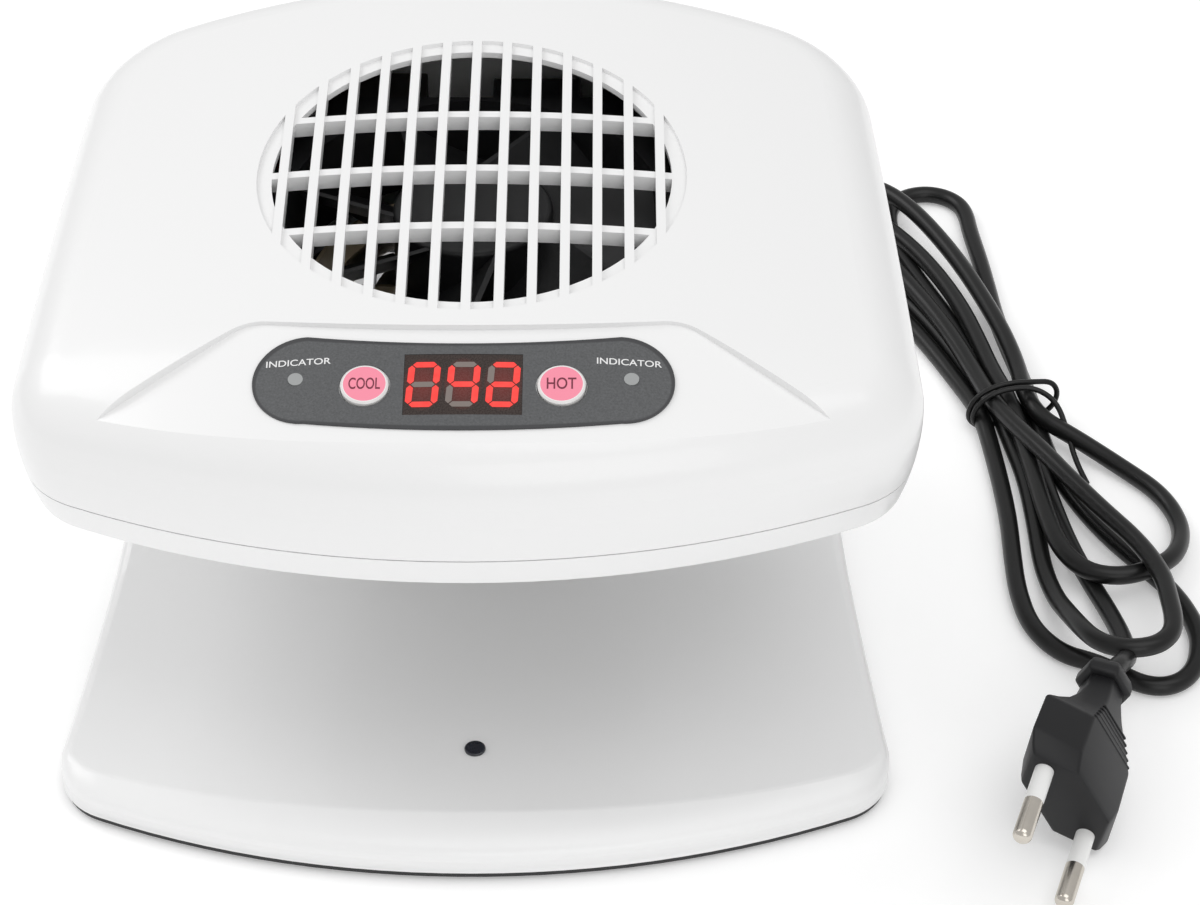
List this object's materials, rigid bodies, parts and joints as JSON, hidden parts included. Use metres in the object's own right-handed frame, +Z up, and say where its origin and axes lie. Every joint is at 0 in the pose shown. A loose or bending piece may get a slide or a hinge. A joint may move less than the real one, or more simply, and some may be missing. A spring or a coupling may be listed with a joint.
{
  "type": "nail dryer",
  "caption": "Free-standing hot and cool air dryer for fingernails: a cushion-shaped hood with fan grille and key panel over a C-shaped hand rest.",
  "frame": {"origin": "on the ground under the middle of the body, without the cord", "axes": "+Z up, front with the key panel at -Y, +X to the right seen from the front"},
  "size_m": [0.2506, 0.2573, 0.1149],
  "materials": {
    "white_shell": "gloss",
    "black_plate": "matte",
    "rubber_feet": "matte",
    "panel_film": "satin",
    "display_window": "gloss",
    "display_module": "matte",
    "lamp_lens": "satin",
    "lamp_chip": "gloss",
    "circuit_board": "satin",
    "steel_screw": "satin",
    "switch": "matte",
    "button_white": "gloss",
    "button_pink": "satin",
    "fan_black": "satin",
    "brass": "polished",
    "copper": "satin",
    "steel_shaft": "polished",
    "outlet_black": "matte",
    "mica": "satin",
    "heating_wire": "satin",
    "cutout": "matte",
    "transformer": "satin",
    "relay": "satin",
    "capacitor": "gloss",
    "fuse": "gloss",
    "connector": "satin",
    "sensor_black": "gloss",
    "cord_black": "satin",
    "tie_black": "satin",
    "plug_black": "satin",
    "pin_sleeve": "satin",
    "pin_nickel": "polished"
  },
  "bodies": {
    "casing": {"top_cover": "white_shell", "main_body": "white_shell", "bottom_plate": "black_plate", "rubber_feet": "rubber_feet", "panel_overlay": "panel_film", "display_window": "display_window", "display_module": "display_module", "lamp_lenses": "lamp_lens", "lamp_chips": "lamp_chip", "control_board": "circuit_board", "control_board_screws": "steel_screw", "tact_switches": "switch", "fan_frame": "fan_black", "fan_bearing": "brass", "fan_stator": "copper", "fan_screws": "steel_screw", "outlet_grille": "outlet_black", "heater_frame": "mica", "heater_coils": "heating_wire", "thermal_cutout": "cutout", "power_board": "circuit_board", "power_board_screws": "steel_screw", "transformer": "transformer", "heater_relay": "relay", "board_capacitors": "capacitor", "board_fuse": "fuse", "board_connectors": "connector", "sensor_lens": "sensor_black", "sensor_board": "circuit_board", "base_screws": "steel_screw", "cover_screws": "steel_screw", "cord_grommet": "cord_black", "mains_cord": "cord_black", "cord_hank": "cord_black", "cord_tail": "cord_black", "cord_tie": "tie_black", "plug_body": "plug_black", "plug_sleeves": "pin_sleeve", "plug_pins": "pin_nickel"},
    "fan": {"fan_rotor": "fan_black", "fan_shaft": "steel_shaft"},
    "cool_key": {"cool_button": "button_white", "cool_button_face": "button_pink", "cool_plunger": "switch"},
    "hot_key": {"hot_button": "button_white", "hot_button_face": "button_pink", "hot_plunger": "switch"}
  },
  "joints": [
    {"name": "fan_spin", "type": "hinge", "parent": "casing", "child": "fan", "pos_m": [0, 0.007, 0.093], "axis": [0, 0, 1], "continuous": true},
    {"name": "cool_press", "type": "slide", "parent": "casing", "child": "cool_key", "axis": [0, 0.2588, -0.9659], "range_m": [0, 0.0005], "stiffness_N_per_m": 1500},
    {"name": "hot_press", "type": "slide", "parent": "casing", "child": "hot_key", "axis": [0, 0.2588, -0.9659], "range_m": [0, 0.0005], "stiffness_N_per_m": 1500}
  ]
}
